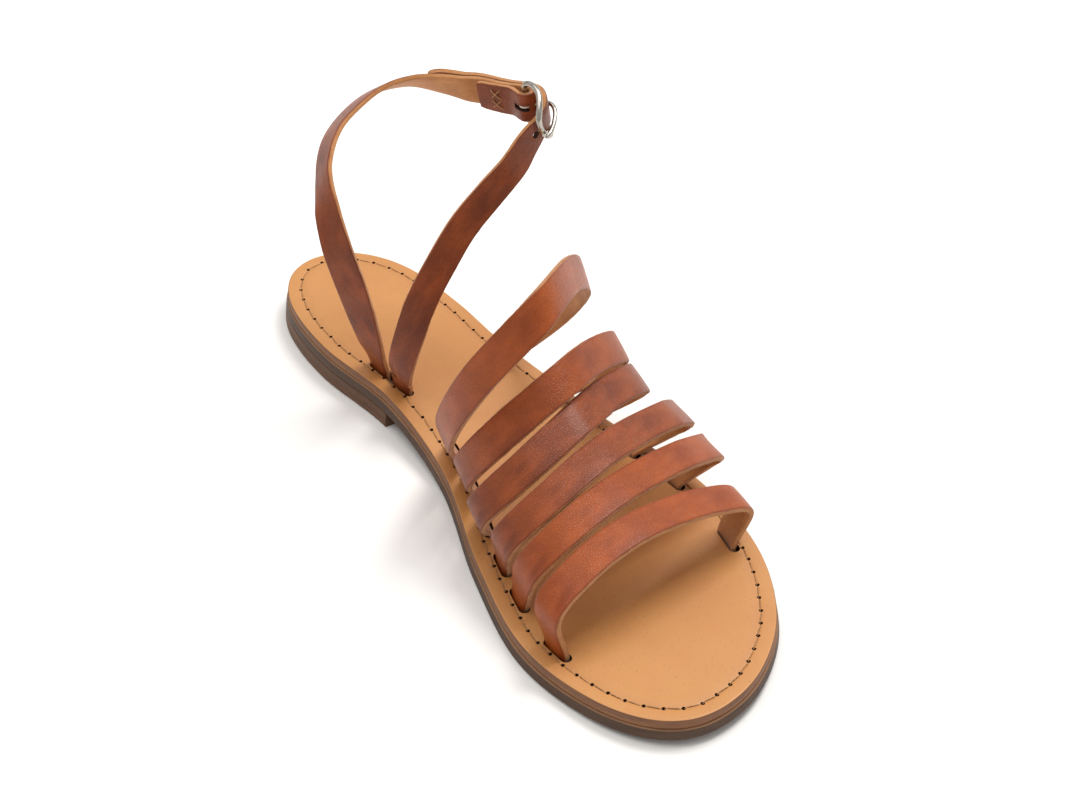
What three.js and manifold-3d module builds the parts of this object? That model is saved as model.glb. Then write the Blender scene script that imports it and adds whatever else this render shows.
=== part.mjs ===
import * as THREE from "three";
import Module from "manifold-3d";

// A left leather sandal, in millimetres: +Z up, toe towards -Y, outer side towards +X.
// The origin is on the ground, under the middle of the whole sandal.

const wasm = await Module();
wasm.setup();

// Sole sizes
const LENGTH = 258;
const BALL_WIDTH = 88;
const INSOLE_WALL = 2.9;
const OUTSOLE_WALL = 3.6;
const HEEL_LIFT = 5.4;
const TOE_SPRING = 2.4;
const HEEL_BREAST = 0.345;
const WAIST_START = 0.33;
const WAIST_END = 0.56;
const SPRING_START = 0.78;
const FIT = 0.3;

// Strap sizes
const STRAP_WIDTH = 11;
const STRAP_WALL = 2;
const EDGE_ROUND = 0.45;
const INSTEP_HEIGHT = 50;
const SLOT_INSET = 6.2;
const SECTION_FULLNESS = 2.05;
const SLOT_CLEAR = 1;
const SLOT_END_CLEAR = 0.9;
const LEG_LIFT = 0.2;
const EDGE_STEP = 4;

// Ankle strap sizes
const ANKLE_RADIUS = 38;
const ANKLE_HEIGHT = 100;
const ANKLE_STRAP_WIDTH = 10;
const ANKLE_STRAP_WALL = 1.8;
const FOLD_LENGTH = 20;
const FOLD_RAMP = 8;
const TIP_LENGTH = 40.7;
const TIP_TAPER = 7;
const TIP_SETTLE = 20;

// Buckle sizes
const WIRE = 2;
const PRONG_WIRE = 1.5;
const BUCKLE_HEIGHT = 17.6;
const BUCKLE_DEPTH = 12.6;
const BUCKLE_RISE = 4.6;
const HOLE_WIDTH = 2.8;
const FREE_HOLE = 13.5;
const SLIT_LENGTH = 6.8;

// Insole outline: along is the share of LENGTH from the heel end, the sides are shares of BALL_WIDTH.
const OUTLINE = [
  { along: 0, inner: -0.017, outer: -0.017 },
  { along: 0.024, inner: -0.17, outer: 0.153 },
  { along: 0.095, inner: -0.267, outer: 0.273 },
  { along: 0.206, inner: -0.284, outer: 0.318 },
  { along: 0.345, inner: -0.227, outer: 0.335 },
  { along: 0.5, inner: -0.247, outer: 0.432 },
  { along: 0.655, inner: -0.381, outer: 0.526 },
  { along: 0.794, inner: -0.461, outer: 0.499 },
  { along: 0.905, inner: -0.409, outer: 0.349 },
  { along: 0.976, inner: -0.286, outer: 0.123 },
  { along: 1, inner: -0.111, outer: -0.111 },
];

// Edge profiles, bottom to top: out is how far the edge stands proud of the outline, up is the share of the wall.
const INSOLE_EDGE = [
  { out: -0.25, up: 0 },
  { out: 0, up: 0.12 },
  { out: 0, up: 0.82 },
  { out: -0.18, up: 0.95 },
  { out: -0.5, up: 1 },
];
const OUTSOLE_EDGE = [
  { out: 0.75, up: 0 },
  { out: 1.05, up: 0.1 },
  { out: 0.5, up: 0.9 },
  { out: 0.25, up: 1 },
];
const HEEL_EDGE = [
  { out: 1.3, up: 0 },
  { out: 1.65, up: 0.08 },
  { out: 1.15, up: 0.93 },
  { out: 0.9, up: 1 },
];

// Fore straps, back to front. inner and outer are the slots' places as shares of LENGTH from the middle,
// rise and lean are shares of INSTEP_HEIGHT, slope is the foot's slope under the strap in degrees,
// shift moves the crown inwards by a share of the half width, and the bulges are shares of BALL_WIDTH.
const FORE_STRAPS = [
  { inner: 0.026, outer: 0.157, rise: 1.52, lean: 1, slope: 57, shift: 0.15, innerBulge: 0.17, outerBulge: 0.2 },
  { inner: -0.029, outer: 0.062, rise: 0.955, lean: 0.69, slope: 36, shift: 0.06, innerBulge: 0.13, outerBulge: 0.22 },
  { inner: -0.103, outer: 0.01, rise: 0.8, lean: 0.55, slope: 24, shift: 0.02, innerBulge: 0.125, outerBulge: 0.21 },
  { inner: -0.172, outer: -0.074, rise: 0.7, lean: 0.385, slope: 9, shift: 0.15, innerBulge: 0.08, outerBulge: 0.22 },
  { inner: -0.233, outer: -0.153, rise: 0.62, lean: 0.262, slope: 8, shift: 0.3, innerBulge: 0.045, outerBulge: 0.16 },
  { inner: -0.325, outer: -0.28, rise: 0.55, lean: -0.03, slope: 7, shift: 0.25, innerBulge: 0.067, outerBulge: 0.11 },
];

// Ankle loop, from the slot up the inner side, round the heel, past the buckle and down the front to the slot.
// across and back are shares of ANKLE_RADIUS from the ankle's middle, rise is a share of ANKLE_HEIGHT,
// face and tilt are the way the outer side looks: degrees from the inner side backwards, and degrees upwards.
const ANKLE_X = 0.09 * BALL_WIDTH;
const ANKLE_Y = 0.24 * LENGTH;
const BAR_ROW = 14.4;
const ANKLE_LOOP = [
  { across: -0.605, back: -0.171, rise: 0.13, face: -7, tilt: 0 },
  { across: -0.658, back: -0.171, rise: 0.22, face: -20, tilt: -5 },
  { across: -0.75, back: -0.205, rise: 0.36, face: -38, tilt: -2 },
  { across: -0.858, back: -0.237, rise: 0.52, face: -50, tilt: 2 },
  { across: -0.937, back: -0.2, rise: 0.66, face: -46, tilt: 6 },
  { across: -0.921, back: -0.032, rise: 0.77, face: -22, tilt: 16 },
  { across: -0.8, back: 0.237, rise: 0.84, face: 32, tilt: 32 },
  { across: -0.568, back: 0.526, rise: 0.89, face: 52, tilt: 47 },
  { across: -0.279, back: 0.708, rise: 0.92, face: 72, tilt: 56 },
  { across: 0.032, back: 0.797, rise: 0.945, face: 92, tilt: 58 },
  { across: 0.313, back: 0.726, rise: 0.96, face: 112, tilt: 50 },
  { across: 0.513, back: 0.553, rise: 0.96, face: 130, tilt: 30 },
  { across: 0.679, back: 0.263, rise: 0.966, face: 152, tilt: 12 },
  { across: 0.795, back: -0.013, rise: 0.976, face: 168, tilt: 6 },
  { across: 0.863, back: -0.224, rise: 0.99, face: 185, tilt: 6 },
  { across: 0.868, back: -0.453, rise: 0.994, face: 205, tilt: 10 },
  { across: 0.758, back: -0.568, rise: 0.95, face: 230, tilt: 20 },
  { across: 0.558, back: -0.653, rise: 0.88, face: 250, tilt: 28 },
  { across: 0.329, back: -0.618, rise: 0.79, face: 262, tilt: 32 },
  { across: 0.053, back: -0.621, rise: 0.7, face: 270, tilt: 32 },
  { across: -0.205, back: -0.671, rise: 0.6, face: 282, tilt: 28 },
  { across: -0.411, back: -0.697, rise: 0.495, face: 300, tilt: 18 },
  { across: -0.553, back: -0.7, rise: 0.375, face: 320, tilt: 8 },
  { across: -0.626, back: -0.65, rise: 0.25, face: 340, tilt: 0 },
  { across: -0.566, back: -0.513, rise: 0.13, face: 353, tilt: 0 },
];

// Buckle wire from the middle of the bar to the middle of the curved end, as shares of depth, rise and half height
const BUCKLE_WIRE = [
  { depth: 0, rise: 0, half: 0 },
  { depth: 0, rise: 0, half: 0.45 },
  { depth: 0, rise: 0, half: 0.82 },
  { depth: 0.09, rise: 0.06, half: 0.96 },
  { depth: 0.38, rise: 0.38, half: 1 },
  { depth: 0.74, rise: 0.78, half: 0.83 },
  { depth: 0.94, rise: 0.96, half: 0.45 },
  { depth: 1, rise: 1, half: 0 },
];

// Prong from its tip on the curved end to the top of its ring, in millimetres from the bar
const PRONG_SHANK = [
  { along: 14, out: 6.4 },
  { along: 12.6, out: 6.7 },
  { along: 8.5, out: 6.5 },
  { along: 5.2, out: 6 },
  { along: 3.4, out: 4.6 },
  { along: 2.5, out: 2.6 },
];

const SOLE_STATIONS = 48;
const HEEL_STATIONS = 16;
const STRAP_STATIONS = 27;
const CURVE_SPANS = 7;
const WIRE_SIDES = 8;
const LOOP_STEP = 6.5;
const BUCKLE_STEP = 3;

const vector = (x, y, z) => new THREE.Vector3(x, y, z);
const clamp = THREE.MathUtils.clamp;
const radians = THREE.MathUtils.degToRad;
const ramp = (value, from, to) => THREE.MathUtils.smoothstep(value, from, to);

// A smooth value between rows at uneven places
function between(places, values, place) {
  let i = 1;
  while (i < places.length - 3 && place > places[i + 1]) i += 1;
  const step = places[i + 1] - places[i];
  const t = (place - places[i]) / step;
  const startSlope = (values[i + 1] - values[i - 1]) / (places[i + 1] - places[i - 1]);
  const endSlope = (values[i + 2] - values[i]) / (places[i + 2] - places[i]);
  const start = values[i] * (2 * t ** 3 - 3 * t ** 2 + 1) + startSlope * step * (t ** 3 - 2 * t ** 2 + t);
  const end = values[i + 1] * (3 * t ** 2 - 2 * t ** 3) + endSlope * step * (t ** 3 - t ** 2);
  return start + end;
}

// The insole's side at a turn from the heel end, 0, to the toe, pi
const outlineTurns = OUTLINE.map((row) => Math.acos(1 - 2 * row.along));
const roundTurns = [-outlineTurns[1], ...outlineTurns, 2 * Math.PI - outlineTurns.at(-2)];
const innerSides = OUTLINE.map((row) => row.inner * BALL_WIDTH);
const outerSides = OUTLINE.map((row) => row.outer * BALL_WIDTH);
const roundInner = [outerSides[1], ...innerSides, outerSides.at(-2)];
const roundOuter = [innerSides[1], ...outerSides, innerSides.at(-2)];

function sideAt(y, outer) {
  const turn = Math.acos(clamp((2 * y) / LENGTH, -1, 1));
  return between(roundTurns, outer ? roundOuter : roundInner, turn);
}

// Height of the outsole's underside and of the insole's top
function liftAt(y) {
  const along = 0.5 - y / LENGTH;
  const heel = HEEL_LIFT * (1 - ramp(along, WAIST_START, WAIST_END));
  const toe = TOE_SPRING * clamp((along - SPRING_START) / (1 - SPRING_START), 0, 2) ** 2;
  return heel + toe;
}
const insoleBottom = (y) => liftAt(y) + OUTSOLE_WALL + FIT;
const insoleTop = (y) => insoleBottom(y) + INSOLE_WALL;

// A point of the outline moved outwards: the turn runs from the heel end along the inner side and back
function outlinePoint(turn) {
  const whole = (turn + 2 * Math.PI) % (2 * Math.PI);
  const outer = whole > Math.PI;
  const y = (LENGTH / 2) * Math.cos(whole);
  return new THREE.Vector2(sideAt(y, outer), y);
}
function edgePoint(turn, out) {
  const before = outlinePoint(turn - 0.01);
  const after = outlinePoint(turn + 0.01);
  const outward = new THREE.Vector2(after.y - before.y, before.x - after.x).normalize();
  return outlinePoint(turn).addScaledVector(outward, out);
}

// A closed body from points and faces, turned the right side out
function body(points, faces) {
  const volume = faces.reduce((sum, [a, b, c]) => {
    return sum + points[a].dot(points[b].clone().cross(points[c]));
  }, 0);
  const turned = volume > 0 ? faces : faces.map(([a, b, c]) => [a, c, b]);
  const vertProperties = new Float32Array(points.flatMap((point) => point.toArray()));
  const triVerts = new Uint32Array(turned.flat());
  return new wasm.Manifold(new wasm.Mesh({ numProp: 3, vertProperties, triVerts }));
}

// A flat body from rings of the same count, bottom to top, with caps between the two sides
function slab(rings) {
  const count = rings[0].length;
  const faces = [];
  for (let low = 0; low < rings.length - 1; low += 1) {
    for (let i = 0; i < count; i += 1) {
      const a = low * count + i;
      const b = low * count + ((i + 1) % count);
      faces.push([a, b, b + count], [a, b + count, a + count]);
    }
  }
  const top = (rings.length - 1) * count;
  for (let i = 0; i < count - i - 1; i += 1) {
    const [a, c, d, b] = [i, i + 1, count - i - 1, (count - i) % count];
    if (c !== d) faces.push([top + a, top + c, top + d], [a, d, c]);
    if (a !== b) faces.push([top + a, top + d, top + b], [a, b, d]);
  }
  return body(rings.flat(), faces);
}

function soleSlab(turns, profile, bottom, top) {
  const rings = profile.map(({ out, up }) => {
    return turns.map((turn) => {
      const edge = edgePoint(turn, out);
      const low = bottom(edge.y);
      return vector(edge.x, edge.y, low + (top(edge.y) - low) * up);
    });
  });
  return slab(rings);
}

// A strap from stations, each with the middle of its outer side, its way across and its way out
function strip(stations, wall) {
  const round = EDGE_ROUND;
  const points = stations.flatMap(({ at, across, out, half }) => {
    const section = [
      [half - round, 0],
      [half, -round],
      [half, round - wall],
      [half - round, -wall],
      [round - half, -wall],
      [-half, round - wall],
      [-half, -round],
      [round - half, 0],
    ];
    return section.map(([side, depth]) => at.clone().addScaledVector(across, side).addScaledVector(out, depth));
  });
  return loft(points, 8, false);
}

// A body through rings of the same count of points, closed on itself or with flat ends
function loft(points, sides, closed) {
  const rings = points.length / sides;
  const faces = [];
  const steps = closed ? rings : rings - 1;
  for (let ring = 0; ring < steps; ring += 1) {
    const next = (ring + 1) % rings;
    for (let i = 0; i < sides; i += 1) {
      const j = (i + 1) % sides;
      const [a, b] = [ring * sides + i, ring * sides + j];
      const [c, d] = [next * sides + j, next * sides + i];
      faces.push([a, b, c], [a, c, d]);
    }
  }
  if (!closed) {
    const last = (rings - 1) * sides;
    for (let i = 1; i < sides - 1; i += 1) faces.push([0, i + 1, i], [last, last + i, last + i + 1]);
  }
  return body(points, faces);
}

// A round wire along a path, with one way that stays square to it
function wire(path, radiusAt, square, closed) {
  const points = path.flatMap((point, i) => {
    const before = closed ? path.at(i - 1) : path[Math.max(i - 1, 0)];
    const after = closed ? path[(i + 1) % path.length] : path[Math.min(i + 1, path.length - 1)];
    const along = after.clone().sub(before).normalize();
    const first = square.clone().addScaledVector(along, -square.dot(along)).normalize();
    const second = along.clone().cross(first);
    return Array.from({ length: WIRE_SIDES }, (_, k) => {
      const turn = ((k + 0.5) * 2 * Math.PI) / WIRE_SIDES;
      const radius = radiusAt(i);
      return point.clone().addScaledVector(first, radius * Math.cos(turn)).addScaledVector(second, radius * Math.sin(turn));
    });
  });
  return loft(points, WIRE_SIDES, closed);
}

// A slot through the insole round one or two strap legs
function slotCutter(at, across, length, thickness) {
  const turn = THREE.MathUtils.radToDeg(Math.atan2(across.y, across.x));
  const size = [length + 2 * SLOT_END_CLEAR, thickness + 2 * SLOT_CLEAR, 8 * INSOLE_WALL];
  return wasm.Manifold.cube(size, true).rotate([0, 0, turn]).translate([at.x, at.y, insoleTop(at.y)]);
}

// The way along the insole's edge, towards the heel, level or with the sole's slope
function edgeWay(y, outer, sloped = false) {
  const [back, front] = [y + EDGE_STEP, y - EDGE_STEP];
  const rise = sloped ? insoleBottom(back) - insoleBottom(front) : 0;
  return vector(sideAt(back, outer) - sideAt(front, outer), back - front, rise).normalize();
}

// Fore straps
function foreStrap(row) {
  const [innerY, outerY] = [row.inner * LENGTH, row.outer * LENGTH];
  const innerX = sideAt(innerY, false) + SLOT_INSET;
  const outerX = sideAt(outerY, true) - SLOT_INSET;
  const half = (outerX - innerX) / 2;
  const crown = (innerX + outerX) / 2 - row.shift * half;
  const pointAt = (turn) => {
    const height = Math.abs(Math.sin(turn)) ** (2 / SECTION_FULLNESS);
    const aside = Math.abs(Math.cos(turn)) ** (2 / SECTION_FULLNESS);
    const inner = turn < Math.PI / 2;
    const plainX = inner ? crown - (crown - innerX) * aside : crown + (outerX - crown) * aside;
    const share = (plainX - innerX) / (outerX - innerX);
    const bulge = (inner ? -row.innerBulge : row.outerBulge) * BALL_WIDTH * Math.sin(Math.PI * height);
    const ground = insoleTop(innerY) + (insoleTop(outerY) - insoleTop(innerY)) * share;
    const y = innerY + (outerY - innerY) * share - row.lean * INSTEP_HEIGHT * height;
    return vector(plainX + bulge, y, ground + row.rise * INSTEP_HEIGHT * height);
  };
  const fine = Array.from({ length: 401 }, (_, i) => pointAt((Math.PI * i) / 400));
  const rough = new THREE.CatmullRomCurve3(fine);
  rough.arcLengthDivisions = 800;
  const curve = new THREE.CatmullRomCurve3(rough.getSpacedPoints(CURVE_SPANS), false, "centripetal");
  const slope = radians(row.slope);
  const footWay = vector(0, Math.cos(slope), Math.sin(slope));
  const stations = Array.from({ length: STRAP_STATIONS + 1 }, (_, i) => {
    const share = i / STRAP_STATIONS;
    const inner = share < 0.5;
    const ends = i === 0 || i === STRAP_STATIONS;
    const along = ends ? vector(0, 0, inner ? 1 : -1) : curve.getTangentAt(share);
    const side = edgeWay(inner ? innerY : outerY, !inner);
    const level = (1 - Math.sin(Math.PI * share)) ** 2;
    const across = side.multiplyScalar(level).addScaledVector(footWay, 1 - level);
    across.addScaledVector(along, -across.dot(along)).normalize();
    return { at: curve.getPointAt(share), across, out: along.clone().cross(across), half: STRAP_WIDTH / 2 };
  });
  const legs = [stations[0], stations.at(-1)].map((station, i) => {
    const { y } = station.at;
    return { ...station, at: station.at.clone().setZ(insoleBottom(y) + LEG_LIFT), across: edgeWay(y, i === 1, true) };
  });
  const slots = legs.map(({ at, across, out }) => {
    return slotCutter(at.clone().addScaledVector(out, -STRAP_WALL / 2), across, STRAP_WIDTH, STRAP_WALL);
  });
  return { solid: strip([legs[0], ...stations, legs[1]], STRAP_WALL), slots };
}

// Ankle loop: a place along it, counted from the buckle's bar, and a distance outwards
const loopPoints = ANKLE_LOOP.map((row) => {
  return vector(ANKLE_X + row.across * ANKLE_RADIUS, ANKLE_Y + row.back * ANKLE_RADIUS, row.rise * ANKLE_HEIGHT);
});
const loopCurve = new THREE.CatmullRomCurve3(loopPoints, false, "centripetal");
loopCurve.arcLengthDivisions = 40 * (ANKLE_LOOP.length - 1);
const loopLength = loopCurve.getLength();
const barPlace = loopCurve.getLengths()[Math.round(40 * BAR_ROW)];

function loopFrame(place) {
  const share = clamp((barPlace + place) / loopLength, 0, 1);
  const along = loopCurve.getTangentAt(share);
  const position = loopCurve.getUtoTmapping(share) * (ANKLE_LOOP.length - 1);
  const row = Math.min(Math.floor(position), ANKLE_LOOP.length - 2);
  const part = position - row;
  const blend = (name) => radians(THREE.MathUtils.lerp(ANKLE_LOOP[row][name], ANKLE_LOOP[row + 1][name], part));
  const [face, tilt] = [blend("face"), blend("tilt")];
  const out = vector(-Math.cos(face) * Math.cos(tilt), Math.sin(face) * Math.cos(tilt), Math.sin(tilt));
  out.addScaledVector(along, -out.dot(along)).normalize();
  return { at: loopCurve.getPointAt(share), along, out, across: out.clone().cross(along) };
}
function loopPoint(place, outwards, aside = 0) {
  const frame = loopFrame(place);
  return frame.at.addScaledVector(frame.out, outwards).addScaledVector(frame.across, aside);
}

// A strap station from its middle line's place and distance, and the way its outer side looks there
function loopStation(place, outwards, look, half = ANKLE_STRAP_WIDTH / 2) {
  const frame = loopFrame(place);
  const out = frame.along.clone().multiplyScalar(Math.cos(look)).addScaledVector(frame.out, Math.sin(look));
  const at = frame.at.clone().addScaledVector(frame.out, outwards).addScaledVector(out, ANKLE_STRAP_WALL / 2);
  return { at, across: frame.across, out, half };
}

const barRound = WIRE / 2 + 1.8 * FIT + ANKLE_STRAP_WALL / 2;
const layerOut = (ANKLE_STRAP_WALL + FIT) / 2;
const overLayer = ANKLE_STRAP_WALL + FIT;

// How far the buckle side's outer layer and the tip side stand out from the loop
function layerAt(place) {
  const doubled = ramp(place, -FOLD_LENGTH - FOLD_RAMP, -FOLD_LENGTH);
  return layerOut * doubled + (barRound - layerOut) * ramp(place, -FOLD_RAMP, 0);
}
function tipAt(place) {
  return (layerAt(place) + overLayer) * (1 - ramp(place, 0, TIP_SETTLE));
}

function places(from, to, step) {
  const count = Math.round(Math.abs(to - from) / step);
  return Array.from({ length: count + 1 }, (_, i) => from + ((to - from) * i) / count);
}

// The leg of an ankle strap: straight down from just above the insole, into the slot that the two legs share
const [backLeg, frontLeg] = [loopPoints[0], loopPoints.at(-1)];
const slotWay = backLeg.clone().sub(frontLeg).setZ(0).normalize();
function ankleLeg(middle) {
  const out = vector(0, 0, 1).cross(slotWay);
  const upper = middle.clone().addScaledVector(out, ANKLE_STRAP_WALL / 2);
  const lower = upper.clone().setZ(insoleBottom(middle.y) + LEG_LIFT);
  return [lower, upper].map((at) => ({ at, across: slotWay, out, half: ANKLE_STRAP_WIDTH / 2 }));
}

const nearBuckle = -FOLD_LENGTH - FOLD_RAMP - 6;
const straight = Math.PI / 2;

function buckleSide() {
  const rise = places(-barPlace, nearBuckle, LOOP_STEP).slice(1).map((place) => loopStation(place, 0, straight));
  const outer = places(nearBuckle, 0, BUCKLE_STEP).slice(1).map((place) => {
    return loopStation(place, layerAt(place), straight);
  });
  const round = [67.5, 45, 22.5, 0, -22.5, -45, -67.5].map((turn) => {
    const [x, y] = [barRound * Math.cos(radians(turn)), barRound * Math.sin(radians(turn))];
    return loopStation(x, y, radians(turn));
  });
  const inner = places(0, -FOLD_LENGTH, BUCKLE_STEP).map((place) => {
    return loopStation(place, -layerAt(place), -straight);
  });
  return strip([...ankleLeg(backLeg), ...rise, ...outer, ...round, ...inner], ANKLE_STRAP_WALL);
}

function tipSide() {
  const end = loopLength - barPlace;
  const halfAt = (place) => {
    const taper = clamp((place + TIP_LENGTH) / TIP_TAPER, 0, 1);
    return (ANKLE_STRAP_WIDTH / 2) * (0.3 + 0.7 * Math.sqrt(1 - (1 - taper) ** 2));
  };
  const tip = places(-TIP_LENGTH, -TIP_LENGTH + TIP_TAPER, TIP_TAPER / 5);
  const buckle = places(-TIP_LENGTH + TIP_TAPER, TIP_SETTLE, BUCKLE_STEP).slice(1);
  const front = places(TIP_SETTLE, end, LOOP_STEP).slice(1, -1);
  const stations = [...tip, ...buckle, ...front].map((place) => {
    return loopStation(place, tipAt(place), straight, halfAt(place));
  });
  return strip([...stations, ...ankleLeg(frontLeg).reverse()], ANKLE_STRAP_WALL);
}

// Buckle
function buckleFrame() {
  const half = BUCKLE_WIRE.map((row) => {
    return vector(row.depth * BUCKLE_DEPTH, row.rise * BUCKLE_RISE, (row.half * (BUCKLE_HEIGHT - WIRE)) / 2);
  });
  const other = half.slice(1, -1).reverse().map((point) => vector(point.x, point.y, -point.z));
  const curve = new THREE.CatmullRomCurve3([...half, ...other], true, "centripetal");
  const path = curve.getSpacedPoints(36).slice(0, -1).map((point) => loopPoint(point.x, point.y, point.z));
  return wire(path, () => WIRE / 2, loopFrame(0).out, true);
}

function prong(extra) {
  const ring = (WIRE + PRONG_WIRE) / 2 + FIT;
  const turns = [10, -30, -70, -110, -150, -190, -230, -262];
  const rows = turns.map((turn) => [ring * Math.cos(radians(turn)), ring * Math.sin(radians(turn))]);
  const points = [...PRONG_SHANK.map((row) => [row.along, row.out]), ...rows].map(([along, out]) => vector(along, out, 0));
  const curve = new THREE.CatmullRomCurve3(points, false, "centripetal");
  const path = curve.getSpacedPoints(30).map((point) => loopPoint(point.x, point.y));
  const radiusAt = (i) => PRONG_WIRE / 2 + extra - (i === 0 || i === 30 ? 0.3 : 0);
  return wire(path, radiusAt, loopFrame(0).across, false);
}

function strapHole(place) {
  const frame = loopFrame(place);
  const reach = tipAt(place) + 2 * ANKLE_STRAP_WALL;
  const path = [-reach, reach].map((outwards) => loopPoint(place, outwards));
  return wire(path, () => HOLE_WIDTH / 2, frame.across, false);
}

function prongSlot() {
  const [reach, wide] = [barRound + ANKLE_STRAP_WALL, PRONG_WIRE / 2 + FIT];
  const section = [[-reach, -wide], [reach, -wide], [reach, wide], [-reach, wide]];
  const corners = [-SLIT_LENGTH / 2, SLIT_LENGTH / 2].flatMap((place) => {
    return section.map(([out, aside]) => loopPoint(place, out, aside));
  });
  return loft(corners, 4, false);
}

// Assembly
const soleTurns = Array.from({ length: 2 * SOLE_STATIONS }, (_, i) => (Math.PI * i) / SOLE_STATIONS);
const breastTurn = Math.acos(1 - 2 * HEEL_BREAST);
const heelTurns = Array.from({ length: 2 * HEEL_STATIONS + 1 }, (_, i) => {
  const side = i <= HEEL_STATIONS ? i : i - 2 * HEEL_STATIONS - 1;
  return (breastTurn * side) / HEEL_STATIONS;
});

const fore = FORE_STRAPS.map(foreStrap);
const ankleSlotMiddle = backLeg.clone().add(frontLeg).multiplyScalar(0.5);
const ankleSlotLength = backLeg.distanceTo(frontLeg) + ANKLE_STRAP_WIDTH;
const ankleSlot = slotCutter(ankleSlotMiddle, slotWay, ankleSlotLength, ANKLE_STRAP_WALL);
const slots = [...fore.flatMap((strap) => strap.slots), ankleSlot];
const insole = slots.reduce(
  (solid, slot) => solid.subtract(slot),
  soleSlab(soleTurns, INSOLE_EDGE, insoleBottom, insoleTop),
);
const outsole = soleSlab(soleTurns, OUTSOLE_EDGE, liftAt, (y) => liftAt(y) + OUTSOLE_WALL);
const heel = soleSlab(heelTurns, HEEL_EDGE, () => 0, (y) => liftAt(y) - FIT);

const TAN = new THREE.MeshStandardMaterial({ color: 0xd0935a, roughness: 0.7 });
const COGNAC = new THREE.MeshStandardMaterial({ color: 0x8f4423, roughness: 0.5 });
const BROWN = new THREE.MeshStandardMaterial({ color: 0x6a5440, roughness: 0.8 });
const CHROME = new THREE.MeshStandardMaterial({ color: 0xd0d2d4, roughness: 0.2, metalness: 1 });

const pieces = [
  ["insole", insole, TAN],
  ["outsole", outsole, BROWN],
  ["heel", heel, BROWN],
  ...fore.map((strap, i) => [`strap_${i + 1}`, strap.solid, COGNAC]),
  ["ankle_buckle_side", buckleSide().subtract(prongSlot()), COGNAC],
  ["ankle_tip_side", tipSide().subtract(strapHole(FREE_HOLE)).subtract(prong(FIT)), COGNAC],
  ["buckle_frame", buckleFrame(), CHROME],
  ["buckle_prong", prong(0), CHROME],
];

const group = new THREE.Group();
for (const [name, solid, material] of pieces) {
  const mesh = solid.getMesh();
  const geometry = new THREE.BufferGeometry();
  geometry.setAttribute("position", new THREE.BufferAttribute(new Float32Array(mesh.vertProperties), 3));
  geometry.setIndex(new THREE.BufferAttribute(new Uint32Array(mesh.triVerts), 1));
  geometry.computeVertexNormals();
  const node = new THREE.Mesh(geometry, material);
  node.name = name;
  group.add(node);
}
const middle = new THREE.Box3().setFromObject(group).getCenter(vector(0, 0, 0));
for (const node of group.children) node.geometry.translate(-middle.x, -middle.y, 0);

export default group;
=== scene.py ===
import math

import bmesh
import bpy
import numpy as np
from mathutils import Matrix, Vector


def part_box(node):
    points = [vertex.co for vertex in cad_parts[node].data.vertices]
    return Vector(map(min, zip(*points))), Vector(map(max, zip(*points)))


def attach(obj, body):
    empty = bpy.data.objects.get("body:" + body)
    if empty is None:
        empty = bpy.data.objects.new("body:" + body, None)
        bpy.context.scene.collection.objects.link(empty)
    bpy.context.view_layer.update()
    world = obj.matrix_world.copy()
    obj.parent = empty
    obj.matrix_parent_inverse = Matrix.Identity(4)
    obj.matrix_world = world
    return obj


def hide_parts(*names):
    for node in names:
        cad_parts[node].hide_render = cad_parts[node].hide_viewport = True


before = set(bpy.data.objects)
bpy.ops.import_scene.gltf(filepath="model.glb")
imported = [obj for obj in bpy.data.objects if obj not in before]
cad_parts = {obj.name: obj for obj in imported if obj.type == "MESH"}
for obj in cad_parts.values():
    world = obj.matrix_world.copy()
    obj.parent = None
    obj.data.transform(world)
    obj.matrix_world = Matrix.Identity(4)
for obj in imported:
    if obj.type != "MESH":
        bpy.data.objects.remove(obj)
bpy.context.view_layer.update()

# A left leather sandal. Shapes are worked out in millimetres and turned into metres when a mesh is made.
MM = 0.001
SEED = 11
rng = np.random.default_rng(SEED)

# Sole sizes, as in the solids
LENGTH = 258
BALL_WIDTH = 88
INSOLE_WALL = 2.9
OUTSOLE_WALL = 3.6
HEEL_LIFT = 5.4
TOE_SPRING = 2.4
HEEL_BREAST = 0.345
WAIST_START = 0.33
WAIST_END = 0.56
SPRING_START = 0.78
FIT = 0.3

# Strap sizes, as in the solids
STRAP_WIDTH = 11
STRAP_WALL = 2
INSTEP_HEIGHT = 50
SLOT_INSET = 6.2
SECTION_FULLNESS = 2.05
LEG_LIFT = 0.2
EDGE_STEP = 4
CURVE_SPANS = 7
CURVE_FINE = 400
LOOP_FINE = 40
BAR_CLEAR = 1.8
ANKLE_RADIUS = 38
ANKLE_HEIGHT = 100
ANKLE_STRAP_WIDTH = 10
ANKLE_STRAP_WALL = 1.8
FOLD_LENGTH = 20
FOLD_RAMP = 8
FOLD_LEAD = 6
TIP_LENGTH = 40.7
TIP_TAPER = 7
TIP_SETTLE = 20

# Buckle sizes, as in the solids
WIRE = 2
PRONG_WIRE = 1.5
BUCKLE_HEIGHT = 17.6
BUCKLE_DEPTH = 12.6
BUCKLE_RISE = 4.6
HOLE_WIDTH = 2.8
FREE_HOLE = 13.5

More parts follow.
